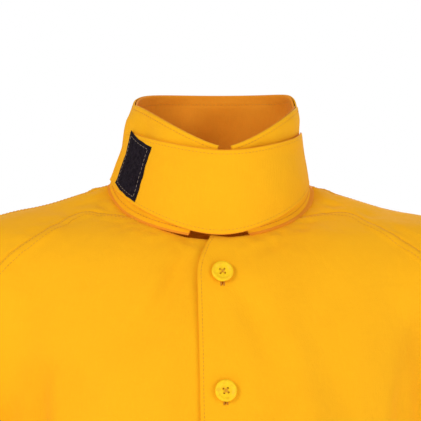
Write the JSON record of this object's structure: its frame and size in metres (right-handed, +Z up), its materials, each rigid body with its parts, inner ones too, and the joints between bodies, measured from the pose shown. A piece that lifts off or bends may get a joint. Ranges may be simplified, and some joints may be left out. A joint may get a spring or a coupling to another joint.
{
  "type": "turnout coat",
  "caption": "Firefighter's woven shell coat with raglan sleeves, stand collar with hook-and-loop throat tab, buttoned front, patch pockets with flaps, and wrist tabs.",
  "frame": {"origin": "centre of the neck opening, level with the neck seam at the shoulders", "axes": "+Z up along the coat's height, -Y out of the front, +X towards the wearer's left"},
  "size_m": [0.7976, 0.3148, 0.8943],
  "materials": {
    "shell_cloth": "amber-yellow plain weave",
    "lining_cloth": "same weave, inside faces",
    "hook_and_loop": "black pile tape",
    "button_plastic": "smooth, slightly glossy",
    "thread": "spun thread"
  },
  "bodies": {
    "coat": {"left_front_panel": "shell_cloth", "right_front_panel": "shell_cloth", "left_front_facing": "lining_cloth", "right_front_facing": "lining_cloth", "back_panel": "shell_cloth", "collar_outer": "shell_cloth", "collar_stiffener": "lining_cloth", "collar_lining": "lining_cloth", "collar_loop_patch": "hook_and_loop", "front_button_1": "button_plastic", "front_button_thread_1": "thread", "front_button_2": "button_plastic", "front_button_thread_2": "thread", "front_button_3": "button_plastic", "front_button_thread_3": "thread", "front_button_4": "button_plastic", "front_button_thread_4": "thread", "front_button_5": "button_plastic", "front_button_thread_5": "thread", "front_button_6": "button_plastic", "front_button_thread_6": "thread", "left_sleeve_front": "shell_cloth", "left_sleeve_back": "shell_cloth", "left_cuff_band": "shell_cloth", "left_wrist_loop_patch": "hook_and_loop", "left_pocket_bag": "shell_cloth", "left_pocket_loop_patch": "hook_and_loop", "right_sleeve_front": "shell_cloth", "right_sleeve_back": "shell_cloth", "right_cuff_band": "shell_cloth", "right_wrist_loop_patch": "hook_and_loop", "right_pocket_bag": "shell_cloth", "right_pocket_loop_patch": "hook_and_loop"},
    "throat_tab": {"throat_tab_lining": "lining_cloth", "throat_tab_outer": "shell_cloth", "throat_tab_hook_patch": "hook_and_loop", "throat_tab_loop_patch": "hook_and_loop"},
    "left_wrist_tab": {"left_wrist_tab": "shell_cloth", "left_wrist_hook_patch": "hook_and_loop"},
    "left_pocket_flap": {"left_pocket_flap": "shell_cloth", "left_pocket_hook_patch": "hook_and_loop"},
    "right_wrist_tab": {"right_wrist_tab": "shell_cloth", "right_wrist_hook_patch": "hook_and_loop"},
    "right_pocket_flap": {"right_pocket_flap": "shell_cloth", "right_pocket_hook_patch": "hook_and_loop"},
    "hanger_loop": {"hanger_loop": "lining_cloth"}
  },
  "joints": [
    {"name": "throat_tab_hinge", "type": "hinge", "parent": "coat", "child": "throat_tab", "pos_m": [0.10878, -0.01198, 0.0067], "axis": [-0.1963, 0.0265, 0.9802], "range_deg": [0, 100]},
    {"name": "left_wrist_tab_hinge", "type": "hinge", "parent": "coat", "child": "left_wrist_tab", "pos_m": [0.29445, 0.00487, -0.60013], "axis": [-0.106, 0.2132, 0.9712], "range_deg": [0, 95]},
    {"name": "right_wrist_tab_hinge", "type": "hinge", "parent": "coat", "child": "right_wrist_tab", "pos_m": [-0.29445, 0.00487, -0.60013], "axis": [-0.106, -0.2132, -0.9712], "range_deg": [0, 95]},
    {"name": "left_pocket_flap_hinge", "type": "hinge", "parent": "coat", "child": "left_pocket_flap", "pos_m": [0.11836, -0.14, -0.53696], "axis": [-0.9321, -0.3621, 0], "range_deg": [0, 110]},
    {"name": "right_pocket_flap_hinge", "type": "hinge", "parent": "coat", "child": "right_pocket_flap", "pos_m": [-0.11836, -0.14, -0.53696], "axis": [-0.9321, 0.3621, 0], "range_deg": [0, 110]},
    {"name": "hanger_loop_hinge", "type": "hinge", "parent": "coat", "child": "hanger_loop", "pos_m": [0, 0.0587, 0.0074], "axis": [-1, 0, 0], "range_deg": [0, 70]}
  ]
}
